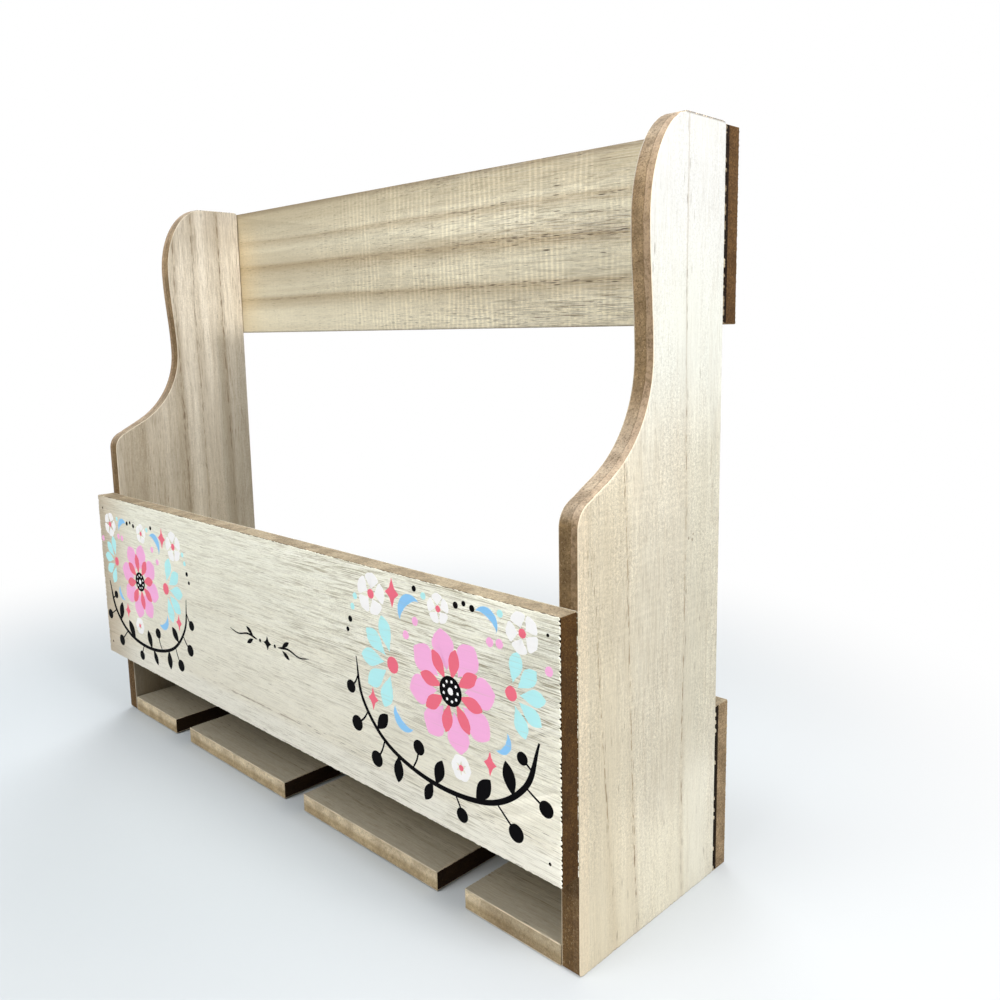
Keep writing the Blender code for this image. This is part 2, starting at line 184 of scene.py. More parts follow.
class Shade(Graph):
    """One material: its shader, the place on the object as a vector and in parts, and patterns."""

    def __init__(self, name, roughness, metallic=0.0, specular=0.5):
        self.material = bpy.data.materials.new(name)
        super().__init__(self.material)
        self.shader = self.nodes["Principled BSDF"]
        self.shader.inputs["Roughness"].default_value = roughness
        self.shader.inputs["Metallic"].default_value = metallic
        self.shader.inputs["Specular IOR Level"].default_value = specular
        self.place = self.add("TexCoord").outputs["Object"]
        self.axes = self.split(self.place)

    def noise(self, vector, scale=1.0, detail=2.0, roughness=0.5):
        node = self.add("TexNoise")
        self.feed(node.inputs["Vector"], vector)
        node.inputs["Scale"].default_value = scale
        node.inputs["Detail"].default_value = detail
        node.inputs["Roughness"].default_value = roughness
        return node.outputs["Fac"]

    def cells(self, vector):
        """Distance to the nearest cell centre, and one random number for each cell."""
        node = self.add("TexVoronoi")
        self.feed(node.inputs["Vector"], vector)
        node.inputs["Scale"].default_value = 1.0
        return node.outputs["Distance"], self.add("SeparateColor", node.outputs["Color"]).outputs[0]

    def facing(self):
        """The way that the surface looks, in parts."""
        return self.split(self.add("NewGeometry").outputs["Normal"])

    def distance(self, point):
        """How far the surface is from a point."""
        node = self.add("VectorMath", operation="DISTANCE")
        self.links.new(self.place, node.inputs[0])
        node.inputs[1].default_value = point
        return node.outputs["Value"]

    def mix(self, share, first, second, blend="MIX"):
        """A mix of two colours. Of the node's inputs and outputs, these are the ones for colours."""
        node = self.add("Mix", data_type="RGBA", blend_type=blend, clamp_factor=True)
        for number, value in ((0, share), (6, first), (7, second)):
            self.feed(node.inputs[number], value)
        return node.outputs[2]

    def tint(self, colour, brightness):
        """The colour times a brightness."""
        return self.mix(1.0, colour, self.vector(brightness, brightness, brightness), "MULTIPLY")

    def ramps(self, entries):
        """The product of smooth rises to 1, each as (axis, start, end, strength at the start)."""
        product = 1.0
        for axis, start, end, least in entries:
            product = self.times(self.fit(self.axes[axis], start, end, least), product)
        return product

    def with_stains_and_painted_light(self, colour, stains_and_painted_light):
        """The colour under patches of stain and of painted light and shade: (strength, colour, then each
        (axis, where it is full, where it ends)).
        """
        for share, tone, *reaches in stains_and_painted_light:
            for axis, full, end in reaches:
                share = self.times(self.fit(self.axes[axis], full, end, 1.0, 0.0), share)
            colour = self.mix(share, colour, tone)
        return colour

    def bump(self, height, strength, distance):
        node = self.add("Bump")
        node.inputs["Strength"].default_value = strength
        node.inputs["Distance"].default_value = distance
        self.feed(node.inputs["Height"], height)
        self.links.new(node.outputs["Normal"], self.shader.inputs["Normal"])

    def paint(self, colour):
        self.feed(self.shader.inputs["Base Color"], colour)
        return self.material


X, Y, Z = 0, 1, 2

# How far a growth line's shadow, its dark thread and its pores reach on the two sides
RING_HALO = (7.5 * MM, 3.5 * MM)
RING_CORE = (0.9 * MM, 0.6 * MM)
RING_PORES = (1.8 * MM, 2.2 * MM)
CURL_PITCH = 3.4 * MM


class Grain:
    """The figure of a veneer, in the shade's own space: long along one axis, fine across it.

    axes are the ones along the grain, across it and through the skin.
    lines holds each growth line's place across the grain, its strength and its slope."""

    def __init__(self, shade, axes, seed, lines=(), wander=0.010, lean=0.0):
        self.shade = shade
        s = shade
        along, across, thin = (s.axes[axis] for axis in axes)
        self.straight = along, across
        deep = s.over(seed, thin, 300.0)
        drift = s.noise(s.vector(s.times(along, 5.0), s.times(across, 9.0), deep), detail=1.0)
        ripple = s.noise(s.vector(s.times(along, 28.0), s.times(across, 70.0), deep))
        across = s.vary(drift, wander, across)
        across = s.vary(ripple, wander * 0.12, across)
        across = s.over(across, along, lean)
        self.along, self.across, self.deep = along, across, deep
        self.lines = lines

    def stretched(self, long_scale, fine_scale):
        s = self.shade
        return s.vector(s.times(self.along, long_scale), s.times(self.across, fine_scale), self.deep)

    def streaks(self, long_scale, fine_scale, detail=2.0, roughness=0.5):
        return self.shade.noise(self.stretched(long_scale, fine_scale), detail=detail, roughness=roughness)

    def hairs(self, long_scale, fine_scale, width):
        """Thin lines that run nearly along the grain, like the contours of a stretched noise."""
        s = self.shade
        apart = s.math("ABSOLUTE", s.minus(self.streaks(long_scale, fine_scale, 1.0), 0.5))
        return s.fit(apart, 0.2 * width, width, 1.0, 0.0)

    def dashes(self, long_scale, fine_scale, bar):
        """Short dark dashes along the grain, in the cells whose luck is over the bar."""
        s = self.shade
        distance, luck = s.cells(self.stretched(long_scale, fine_scale))
        return s.times(s.fit(distance, 0.20, 0.45, 1.0, 0.0), s.math("GREATER_THAN", luck, bar))

    def near_line(self, before, after):
        """Each line's strength on the line, falling to 0 at the given distances on its two sides."""
        s = self.shade
        nearest = 0.0
        for place, strength, slope in self.lines:
            apart = s.over(s.minus(self.across, place), self.along, slope)
            peak = s.math("MINIMUM", s.fit(apart, -before, 0.0), s.fit(apart, 0.0, after, 1.0, 0.0))
            nearest = s.math("MAXIMUM", nearest, s.times(peak, strength))
        return nearest

    def curls(self, seed, centre, near, far):
        """Ripples across the grain, full where they are near the centre and faint from far on."""
        s = self.shade
        along, across = self.straight
        jitter = s.noise(s.vector(s.times(along, 40.0), s.times(across, 24.0), self.deep), detail=1.0)
        turns = s.over(s.times(jitter, 9.0), along, math.tau / CURL_PITCH)
        wave = s.fit(s.math("SINE", turns), -0.6, 1.0)
        column = s.noise(s.vector(s.times(along, 90.0), s.times(across, 60.0), seed), detail=1.0)
        middle = s.math("ABSOLUTE", s.minus(along, centre))
        return s.times(s.times(wave, s.fit(column, 0.30, 0.66)), s.fit(middle, near, far, 1.0, 0.08))

    def fleck(self, fibre, place, beside, long_half, fine_half):
        """A small dark mark with a ragged rim, by its place and half size along and across the grain."""
        s = self.shade
        squares = []
        for value, middle, half in ((self.along, place, long_half), (self.across, beside, fine_half)):
            squares.append(s.math("POWER", s.math("DIVIDE", s.minus(value, middle), half), 2.0))
        rim = s.over(s.math("ADD", *squares), fibre, 0.8)
        return s.times(s.fit(rim, 0.6, 1.5, 1.0, 0.0), 0.6)


def make_veneer(name, axes, seed, tones, lines, wander=0.010, bands=0.5, rings=0.6, hair=0.5,
                pore_depth=0.6, crowding=0.45, nap=0.34, mottle=0.2, glint=0.0, dash=(130.0, 0.46),
                whole=None, curl=None, swell=(), calm=(), stains_and_painted_light=(), flecks=(), arris=None, top_arris=None):
    """Sanded pale veneer with soft growth bands, broken dark lines, hair lines and open pores.

    axes and lines are read by Grain. tones are the colours of the early and the late wood, of the dark
    thread along a growth line, of the pores and of the hair lines.
    dash says how often a growth line's dark thread breaks along the grain and how much of it is gone.
    whole is (axis, start, end, strength): along it the thread turns into a faint whole line.
    curl gives the strength of the ripples across the grain, then what Grain.curls reads.
    swell and calm are read by Shade.ramps: along them the dark lines and pores, or the fine grain and
    the hair lines, grow to full strength.
    stains_and_painted_light holds patches of stain and of painted light and shade, laid on by
    Shade.with_stains_and_painted_light, and each of flecks is read by Grain.fleck.
    arris is the colour of rubbed edges, partly painted shade where it is dark, and top_arris that of those
    that look up."""
    s = Shade(name, 0.68, specular=0.25)
    grain = Grain(s, axes, seed, lines, wander)
    pale, late, line, pore, hair_tone = tones
    broad = grain.streaks(1.4, 42.0)
    medium = grain.streaks(5.0, 210.0)
    fine = grain.streaks(16.0, 620.0, 3.0, 0.6)
    fibre = grain.streaks(110.0, 2600.0, 1.0)
    fuzz = grain.streaks(330.0, 1050.0, 3.0, 0.7)
    worn = s.fit(grain.streaks(14.0, 55.0, 1.0), 0.38, 0.62, 0.35, 1.1)
    grit = s.vary(s.noise(s.place, 880.0, 3.0, 1.0), worn, 0.5)
    cloud = s.noise(s.place, 45.0, 4.0)
    strong = s.ramps(swell)
    lively = s.ramps(calm)

    colour = s.mix(s.times(s.fit(broad, 0.36, 0.64), bands), pale, late)
    colour = s.mix(s.times(s.fit(medium, 0.45, 0.66), bands * 0.55), colour, late)
    halo = s.math("POWER", grain.near_line(*RING_HALO), 1.4)
    colour = s.mix(s.times(halo, rings), colour, late)
    colour = s.with_stains_and_painted_light(colour, stains_and_painted_light)
    ragged = s.fit(grain.streaks(dash[0], 1300.0, 1.0), dash[1], dash[1] + 0.12)
    reach = s.fit(grain.streaks(7.0, 40.0, 1.0), 0.36, 0.56)
    kept = s.times(ragged, reach)
    if whole:
        axis, start, end, faint = whole
        kept = s.over(kept, s.minus(faint, kept), s.fit(s.axes[axis], start, end))
    thread = s.times(grain.near_line(*RING_CORE), kept)

    shift = 0.0
    for texture, amount in ((fine, 0.22), (fibre, 0.28), (fuzz, nap), (grit, mottle), (cloud, 0.2)):
        shift = s.vary(texture, amount, shift)
    light = s.over(1.0, shift, lively)
    if curl:
        light = s.over(light, grain.curls(seed, *curl[1:]), curl[0])
    colour = s.tint(colour, light)
    colour = s.mix(s.times(s.times(thread, rings), strong), colour, line)

    patch = s.fit(grain.streaks(4.0, 60.0), 0.42, 0.62)
    share = s.times(s.over(0.5 * hair, patch, 0.5 * hair), s.times(strong, lively))
    broken = s.fit(grain.streaks(60.0, 620.0, 1.0), 0.40, 0.56)
    hairs = s.times(grain.hairs(30.0, 1500.0, 0.085), broken)
    colour = s.mix(s.times(hairs, share), colour, hair_tone)
    if glint:
        bright = s.times(grain.hairs(26.0, 1750.0, 0.085), s.times(share, glint))
        colour = s.mix(bright, colour, (255, 255, 246))
    specks = s.fit(grain.streaks(105.0, 2300.0, 2.0, 0.6), 0.57, 0.66)
    colour = s.mix(s.times(specks, s.times(share, 0.85)), colour, hair_tone)
    small = grain.dashes(200.0, 2700.0, s.over(0.95, patch, -0.16))
    colour = s.mix(s.times(small, s.times(lively, pore_depth * 0.6)), colour, pore)
    by_line = grain.near_line(*RING_PORES)
    large = grain.dashes(150.0, 1750.0, s.over(0.990, by_line, -crowding))
    colour = s.mix(s.times(large, s.times(strong, pore_depth)), colour, pore)
    for fleck in flecks:
        colour = s.mix(grain.fleck(fibre, *fleck), colour, pore)
    if arris:
        facing = s.facing()
        turned = s.fit(s.math("ABSOLUTE", facing[axes[2]]), 0.80, 0.995, 1.0, 0.0)
        if top_arris:
            upward = s.times(s.fit(facing[Z], 0.10, 0.35), s.fit(facing[Y], -0.25, -0.05))
            arris = s.mix(upward, arris, top_arris)
        rubbed = s.fit(grain.streaks(120.0, 40.0), 0.36, 0.56, 0.35, 0.85)
        colour = s.mix(s.times(turned, rubbed), colour, arris)

    height = s.over(s.times(fibre, 0.35), large, -0.8)
    height = s.over(height, small, -0.5)
    height = s.over(height, fuzz, 0.5)
    s.bump(height, 0.4, 0.13 * MM)
    s.feed(s.shader.inputs["Roughness"], s.fit(fibre, 0.3, 0.7, 0.62, 0.78))
    return s.paint(colour)


def make_fibreboard(name, seed, tones, saw_axis=None, speckle=1.0, top=None, stains_and_painted_light=(), seam=None):
    """A cut edge of fibreboard: fine brown felt with pale fibres, dark specks and tool marks.

    tones are the colours of the felt, the specks and the fibres.
    Where top is given, the felt turns to that paler colour on surfaces that look up: painted light from
    above.
    stains_and_painted_light holds patches of stain and of painted light and shade, laid on by
    Shade.with_stains_and_painted_light.
    seam gives how far from the middle of the rack a seam lies, which shows from the shoulder up, and
    the colour of the layer outside it."""
    s = Shade(name, 0.88, specular=0.15)
    colour, dark, pale = tones
    moved = s.add("VectorMath", s.place, operation="ADD")
    moved.inputs[1].default_value = (seed, seed * 0.7, seed * 0.3)
    place = moved.outputs[0]
    colour = s.with_stains_and_painted_light(colour, stains_and_painted_light)
    # Paler where the surface looks up: painted light from above.
    if top:
        colour = s.mix(s.fit(s.facing()[Z], 0.1, 0.8), colour, top)
    felt = s.noise(place, 1200.0, 3.0, 0.8)
    coarse = s.noise(place, 620.0, 2.0, 0.6)
    blot = s.noise(place, 110.0, 2.0)
    specks = s.fit(s.noise(place, 1500.0, 1.0), 0.57, 0.70)
    fibres = s.fit(s.noise(place, 1600.0, 2.0), 0.58, 0.74)
    base = s.mix(s.times(s.fit(blot, 0.35, 0.65), 0.4), colour, dark)
    base = s.mix(s.times(specks, 0.5 * speckle), base, dark)
    base = s.mix(s.times(fibres, 0.4 * speckle), base, pale)
    light = s.vary(felt, 1.6 * speckle, 1.0)
    light = s.vary(coarse, 0.8 * speckle, light)
    height = felt
    if saw_axis is not None:
        marks = s.noise(s.vector(s.times(s.axes[saw_axis], 620.0), seed, 0.0), detail=1.0)
        light = s.vary(marks, 0.35, light)
        height = s.over(felt, marks, 0.6)
    base = s.tint(base, light)
    if seam:
        seam_place, outside = seam
        wobble = s.times(s.minus(s.noise(s.place, 160.0, 2.0), 0.5), 1.2 * MM)
        apart = s.math("ADD", s.minus(s.math("ABSOLUTE", s.axes[X]), seam_place), wobble)
        groove = s.fit(s.math("ABSOLUTE", apart), 0.05 * MM, 0.30 * MM, 1.0, 0.0)
        shown = s.times(s.fit(s.axes[Z], 0.13, 0.20, 0.15, 1.0), s.fit(coarse, 0.35, 0.6, 0.45, 1.15))
        base = s.mix(s.times(s.times(s.fit(apart, 0.0, 0.3 * MM), 0.30), shown), base, outside)
        base = s.mix(s.times(s.times(groove, 0.4), shown), base, dark)
    s.bump(height, 0.5, 0.12 * MM)
    return s.paint(base)


# The front veneer's seed, so that the ink shows the grain of the wood under it
FRONT_SEED = 7.7
BARE_WOOD = (200, 186, 158)


def make_ink(name, colour, opacity, specular=0.2):
    """Screen ink on the front veneer: flat, with the open grain showing through as fine lines."""
    s = Shade(name, 0.65, specular=specular)
    grain = Grain(s, (X, Z, Y), FRONT_SEED, (), 0.011, -0.03)
    fine = grain.streaks(6.0, 430.0)
    fibre = grain.streaks(75.0, 3300.0, 1.0)
    thin = s.fit(grain.streaks(45.0, 1500.0), 0.60, 0.74)
    base = s.mix(s.times(thin, 1.0 - opacity), colour, BARE_WOOD)
    base = s.tint(base, s.vary(fine, 0.07, 1.0))
    base = s.tint(base, s.vary(fibre, 0.05, 1.0))
    s.bump(s.over(fibre, fine, 0.5), 0.25, 0.06 * MM)
    return s.paint(base)


def make_steel(name, colour, roughness, blotch):
    """Plated steel with faint rolled streaks and a dull bloom."""
    s = Shade(name, roughness, metallic=1.0)
    streak = s.noise(s.vector(s.times(s.axes[X], 90.0), s.times(s.axes[Z], 1800.0), s.axes[Y]))
    bloom = s.noise(s.place, 260.0, 3.0)
    base = s.mix(s.fit(bloom, 0.4, 0.75), colour, blotch)
    base = s.tint(base, s.vary(streak, 0.25, 1.0))
    s.feed(s.shader.inputs["Roughness"], s.fit(bloom, 0.3, 0.7, roughness, roughness + 0.2))
    s.bump(streak, 0.15, 0.03 * MM)
    return s.paint(base)


# Outlines of boards

def arc(centre, radii, start, end, step=ARC_STEP):
    """Points of an arc, round or oval, from one angle to another, in degrees, with both ends."""
    count = max(3, round(abs(end - start) / step))
    points = []
    for number in range(count + 1):
        angle = math.radians(start + (end - start) * number / count)
        points.append((centre[0] + radii[0] * math.cos(angle), centre[1] + radii[1] * math.sin(angle)))
    return points


def rounded_rectangle(low, high, radius):
    """Anticlockwise outline of a board with small rounded corners."""
    step = 90 / CORNER_STEPS
    outline = []
    left, right, bottom, top = low[0] + radius, high[0] - radius, low[1] + radius, high[1] - radius
    for corner, start in (((right, bottom), 270), ((right, top), 0), ((left, top), 90),
                          ((left, bottom), 180)):
        outline += arc(corner, (radius, radius), start, start + 90, step)
    return outline


def side_panel_outline(front):
    """Clockwise outline of a side panel, as depth and height, from its underside's front corner."""
    slope = math.radians(SWEEP_SLOPE)
    shoulder = arc((SHOULDER_RADIUS, SHOULDER_HEIGHT), (SHOULDER_RADIUS, SHOULDER_RADIUS),
                   180, 90 + SWEEP_SLOPE)
    end_depth, end_height = shoulder[-1]
    sweep_depth = NECK_SETBACK - SWEEP_RADIUS * (1 - math.sin(slope))
    neck_height = end_height + (sweep_depth - end_depth) * math.tan(slope) + SWEEP_RADIUS * math.cos(slope)
    sweep = arc((NECK_SETBACK - SWEEP_RADIUS, neck_height), (SWEEP_RADIUS, SWEEP_RADIUS),
                SWEEP_SLOPE - 90, 0)
    curve_height = (PANEL_HEIGHT - neck_height) * HEAD_CURVE_SHARE
    curve_start = PANEL_HEIGHT - curve_height
    lean = []
    for step in range(1, LEAN_STEPS):
        share = step / LEAN_STEPS
        eased = (1 - math.cos(math.pi * share)) / 2
        lean.append((NECK_SETBACK + (HEAD_SETBACK - NECK_SETBACK) * eased,
                     neck_height + (curve_start - neck_height) * share))
    top_height = curve_height * HEAD_OVERSHOOT
    head = arc((HEAD_SETBACK + HEAD_CURVE_DEPTH, curve_start), (HEAD_CURVE_DEPTH, top_height), 180,
               180 - math.degrees(math.asin(1 / HEAD_OVERSHOOT)))
    r = PANEL_CORNER
    outline = (arc((r, r), (r, r), 270, 180, SMALL_ARC_STEP) + shoulder + sweep + lean + head
               + arc((PANEL_DEPTH - r, PANEL_HEIGHT - r), (r, r), 90, 0, SMALL_ARC_STEP)
               + arc((PANEL_DEPTH - r, r), (r, r), 0, -90, SMALL_ARC_STEP))
    return [(front + depth, height) for depth, height in reversed(outline)]


def edge_points(outline, grain, plain_pitch):
    """The outline's points at a spacing that suits each edge: (place, inward normal, crossing).

    The crossing is 1 where the edge cuts the grain, which chips, and 0 where it runs along it."""
    corners = [Vector(point) for point in outline]
    corners = [p for n, p in enumerate(corners) if (p - corners[n - 1]).length > SAME_POINT]
    dense = []
    for number, start in enumerate(corners):
        end = corners[(number + 1) % len(corners)]
        run = end - start
        across = 1 - abs(run.normalized()[grain])
        pitch = plain_pitch + (CHIP_PITCH - plain_pitch) * min(1.0, across * CROSSING_GAIN)
        count = max(1, round(run.length / pitch))
        dense += [start.lerp(end, step / count) for step in range(count)]
    points = []
    for number, point in enumerate(dense):
        tangent = (dense[(number + 1) % len(dense)] - dense[number - 1]).normalized()
        points.append((point, Vector((-tangent.y, tangent.x)), 1 - abs(tangent[grain])))
    return points


# Laminated boards

VENEER, LONG_EDGE, CUT_END, TORN = 0, 1, 2, 3


def place_object(name, data):
    """A new object in the scene with the given mesh, lamp or camera."""
    thing = bpy.data.objects.new(name, data)
    bpy.context.scene.collection.objects.link(thing)
    return thing


def place_mesh(bm, name):
    """The mesh that was built, as an object in the scene."""
    mesh = bpy.data.meshes.new(name)
    bm.to_mesh(mesh)
    bm.free()
    return place_object(name, mesh)


def world_point(point, height, plane, thin):
    """A point of a board's outline, at a height over the outline's plane."""
    place = [0.0, 0.0, 0.0]
    place[plane[0]], place[plane[1]], place[thin] = point.x, point.y, height
    return place


def add_shell(bm, points, rings, plane, thin, slots, chips):
    """A closed flat shell. rings gives (inset, height, share of the chips) from one face to the other.

    slots holds the material of its two faces and bevels, of its long edges and of its cut ends."""
    rows = []
    for inset, height, chipped in rings:
        row = []
        for (point, inward, _), chip in zip(points, chips):
            place = point + inward * (inset + chip * chipped)
            row.append(bm.verts.new(world_point(place, height, plane, thin)))
        rows.append(row)
    count = len(points)
    for level in range(len(rings) - 1):
        flat = rings[level][0] == rings[level + 1][0] and rings[level][2] == rings[level + 1][2]
        for number in range(count):
            following = (number + 1) % count
            face = bm.faces.new((rows[level][number], rows[level][following],
                                 rows[level + 1][following], rows[level + 1][number]))
            crosses = points[number][2] > CROSSING_MIDDLE
            torn = not flat and (crosses or slots[0] == VENEER)
            face.material_index = slots[0] if torn else slots[2 if crosses else 1]
            face.smooth = True
    for row in (rows[0], rows[-1]):
        cap = bm.faces.new(row)
        cap.material_index = slots[0]


def arris_rings(face, inner, reach):
    """Rings of a skin from its glue line to its face, rounded at the face's edge as far as the reach."""
    outward = 1 if face > inner else -1
    rings = [(0.0, inner, 1.0)]
    for step in range(ARRIS_STEPS + 1):
        angle = math.pi / 2 * step / ARRIS_STEPS
        rings.append((reach * (1 - math.cos(angle)), face - outward * ARRIS * (1 - math.sin(angle)), 1.0))
    return rings


def crossing_share(crossing):
    """How much of the chipping an edge has, from none along the grain to all of it across."""
    return max(0.0, crossing - CROSSING_START) / (1 - CROSSING_START)


def chip_depths(points, rough, seed, fray=0.0):
    """How far the veneer is torn back at each point.

    Where the edge cuts the grain there are notches between teeth, and beside the grain there is a fray."""
    dice = random.Random(seed)
    depths = []
    notch = place = gone = 0
    for number, (_, _, across) in enumerate(points):
        if number % TOOTH_POINTS == 0:
            notch = LEAST_NOTCH_SHARE + (1 - LEAST_NOTCH_SHARE) * dice.random() ** NOTCH_CURVE
            notch *= 1.0 if dice.random() > SHALLOW_NOTCH_CHANCE else SHALLOW_NOTCH_SHARE
            place = 1 + dice.randrange(TOOTH_POINTS - 1)
            gone = dice.random() < (rough - 1) * LOST_TEETH
        gap = abs(number % TOOTH_POINTS - place)
        depth = notch * (LOST_TOOTH_SHARE if gone else TOOTH_SHAPE_SHARES[gap])
        share = crossing_share(across)
        rest = CHIP_REST * rough * share + fray * (1 - share) + JITTER
        depths.append(rough * CHIP_DEPTH * depth * share + rest * dice.random())
    return depths


def make_laminate(name, node, outline, plane, thin, grain, materials, slot, rough=(1.0, 1.0),
                  reach=(0.4 * MM, 0.4 * MM), fray=0.0, torn=False, bare=False, room=0.0):
    """A board as a fibreboard core between two veneer skins, in place of its CAD node.

    rough says how badly the ends of the lower and upper skin are chipped, and reach how wide their
    rounded edges are. fray says how far the lower skin's long edges are rubbed, torn whether the core
    is torn too, and bare whether the skins' cut edges look like the core's. room says how far the lower
    face lies inside the node's."""
    low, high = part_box(node)
    bottom, top = low[thin] + room, high[thin]
    points = edge_points(outline, plane.index(grain), FRAYED_PITCH if fray else PLAIN_PITCH)
    seed = sum(map(ord, name))
    core = [(CORE_INSET, bottom + SKIN + GLUE_LINE, float(torn)), (CORE_INSET, top - SKIN - GLUE_LINE, 0.0)]
    missing = [0.0] * len(points)
    if torn:
        core.insert(1, (CORE_INSET, bottom + SKIN + TEAR_HEIGHT, 0.0))
        dice = random.Random(seed + 2)
        missing = [TEAR_DEPTH * max(0.0, across - CROSSING_START)
                   * (LEAST_TEAR_SHARE + TEAR_SPREAD_SHARE * dice.random()) for _, _, across in points]
    bm = bmesh.new()
    add_shell(bm, points, core, plane, thin, (TORN, LONG_EDGE, CUT_END), missing)
    sides = (VENEER, LONG_EDGE if bare or fray else VENEER, CUT_END if bare else VENEER)
    add_shell(bm, points, arris_rings(top, top - SKIN, reach[1]), plane, thin, sides,
              chip_depths(points, rough[1], seed))
    add_shell(bm, points, arris_rings(bottom, bottom + SKIN, reach[0]), plane, thin, sides,
              chip_depths(points, rough[0], seed + 1, fray))
    bmesh.ops.recalc_face_normals(bm, faces=bm.faces)
    board = place_mesh(bm, name)
    board.data.set_sharp_from_angle(angle=math.radians(SHARP_ANGLE))
    for material in materials:
        board.data.materials.append(material)
    drill(board, node)
    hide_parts(node)
    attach(board, "root")


def drill(board, node):
    """Opens the nail holes that the board's CAD node has, from the nails' own places."""
    low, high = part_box(node)
    bm = bmesh.new()
    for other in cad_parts:
        if "_pin_" not in other and "_nail_" not in other:
            continue
        pin_low, pin_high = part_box(other)
        if any(pin_low[axis] > high[axis] or pin_high[axis] < low[axis] for axis in (X, Y, Z)):
            continue
        from_front = pin_low.y < 0
        start = pin_low.y - (PIN_SINK + HOLE_OVERRUN if from_front else HOLE_CLEARANCE)
        end = pin_high.y + (HOLE_CLEARANCE if from_front else PIN_SINK + HOLE_OVERRUN)
        middle = Vector(((pin_low.x + pin_high.x) / 2, (start + end) / 2, (pin_low.z + pin_high.z) / 2))
        radius = NAIL_HOLE_RADIUS if "_nail_" in other else PIN_HOLE_RADIUS
        placed = Matrix.Translation(middle) @ Matrix.Rotation(math.pi / 2, 4, "X")
        bmesh.ops.create_cone(bm, cap_ends=True, segments=HOLE_SIDES, radius1=radius, radius2=radius,
                              depth=end - start, matrix=placed)
    if not bm.verts:
        bm.free()
        return
    for face in bm.faces:
        face.material_index = TORN
    cutter = place_mesh(bm, board.name + "_holes")
    boolean = board.modifiers.new("holes", "BOOLEAN")
    boolean.operation = "DIFFERENCE"
    boolean.solver = "EXACT"
    boolean.object = cutter
    bpy.context.view_layer.update()
    graph = bpy.context.evaluated_depsgraph_get()
    drilled = bpy.data.meshes.new_from_object(board.evaluated_get(graph))
    board.modifiers.clear()
    board.data = drilled
    bpy.data.objects.remove(cutter, do_unlink=True)


# Print on the front board

# How far each ink stands out from the face, in millimetres, so that later ones lie over earlier ones
INK_HEIGHT = {"aqua": 0.020, "blue": 0.024, "pink": 0.028, "coral": 0.032, "black": 0.038, "white": 0.044}
INK_SINK = 0.01 * MM
INK_ROOM = 0.07 * MM
INK_STEP = 0.0003 * MM
INK_BLEED = 0.16 * MM
BLACK_BLEED = 0.04 * MM

# Each cluster's start from its end of the board, its height, its scale and the way that it runs
RIGHT_CLUSTER = (122 * MM, 50 * MM, 1.0, 1)
LEFT_CLUSTER = (112 * MM, 48.5 * MM, 0.93, -1)
FLOURISH_HEIGHT = 89 * MM


def disc(centre, radius, squeeze=1.0):
    """A round spot, made lower by the squeeze."""
    count = max(16, round(radius * 8))
    return [(centre[0] + radius * math.cos(math.tau * n / count),
             centre[1] + radius * squeeze * math.sin(math.tau * n / count)) for n in range(count)]


def drop(base, tip, width, belly=1.5):
    """A rounded petal or blade from its base to its tip. A belly above 1 is near the tip."""
    base, tip = Vector(base), Vector(tip)
    run = tip - base
    side = Vector((-run.y, run.x)).normalized()
    count = max(14, round(run.length * 1.6))
    left, right = [], []
    for number in range(count + 1):
        share = (1 - math.cos(math.pi * number / count)) / 2
        half = width / 2 * math.sin(math.pi * share ** belly) ** 0.85 if 0 < share < 1 else 0.0
        left.append(base + run * share + side * half)
        right.append(base + run * share - side * half)
    return [tuple(point) for point in left + right[-2:0:-1]]


def petal_ring(centre, count, inner, outer, width, turn=0.0, belly=1.7):
    """Petals round a centre, between two distances from it. The turn of the first is in degrees."""
    petals = []
    for number in range(count):
        angle = math.tau * number / count + math.radians(turn)
        reach = Vector((math.cos(angle), math.sin(angle)))
        middle = Vector(centre)
        petals.append(drop(middle + reach * inner, middle + reach * outer, width, belly))
    return petals


def diamond(centre, half_width, half_height, count=7):
    """A diamond with slightly hollow sides."""
    corners = [(half_width, 0), (0, half_height), (-half_width, 0), (0, -half_height)]
    points = []
    for number, (x, y) in enumerate(corners):
        next_x, next_y = corners[(number + 1) % 4]
        for step in range(count):
            share = step / count
            pull = 1 - 0.28 * math.sin(math.pi * share)
            points.append((centre[0] + (x + (next_x - x) * share) * pull,
                           centre[1] + (y + (next_y - y) * share) * pull))
    return points


def smooth_path(points, per_span=10):
    """A smooth line through the points."""
    knots = [Vector(p) for p in points]
    knots = [knots[0] * 2 - knots[1]] + knots + [knots[-1] * 2 - knots[-2]]
    path = []
    for number in range(1, len(knots) - 2):
        a, b, c, d = knots[number - 1:number + 3]
        for step in range(per_span):
            t = step / per_span
            path.append(0.5 * ((2 * b) + (c - a) * t + (2 * a - 5 * b + 4 * c - d) * t * t
                               + (3 * b - a - 3 * c + d) * t ** 3))
    return path + [knots[-2]]


def stroke(points, start_width, end_width):
    """A brush line along the points, with its width easing from one end to the other."""
    path = smooth_path(points)
    left, right = [], []
    for number, point in enumerate(path):
        following = path[min(number + 1, len(path) - 1)]
        before = path[max(number - 1, 0)]
        tangent = (following - before).normalized()
        side = Vector((-tangent.y, tangent.x))
        share = number / (len(path) - 1)
        half = (start_width + (end_width - start_width) * share) / 2
        half *= min(1.0, 0.35 + 6 * min(share, 1 - share))
        left.append(point + side * half)
        right.append(point - side * half)
    return [tuple(point) for point in left + right[::-1]]


def crescent(centre, radius, turn, body=0.6):
    """A half moon with its back towards the turn, in degrees."""
    count = 14
    outer = [math.radians(-90 + 180 * n / count) for n in range(count + 1)]
    points = [(math.cos(a), math.sin(a)) for a in outer]
    points += [(math.cos(a) * (1 - body), math.sin(a)) for a in outer[-2:0:-1]]
    cosine, sine = math.cos(math.radians(turn)), math.sin(math.radians(turn))
    return [(centre[0] + radius * (u * cosine - v * sine), centre[1] + radius * (u * sine + v * cosine))
            for u, v in points]


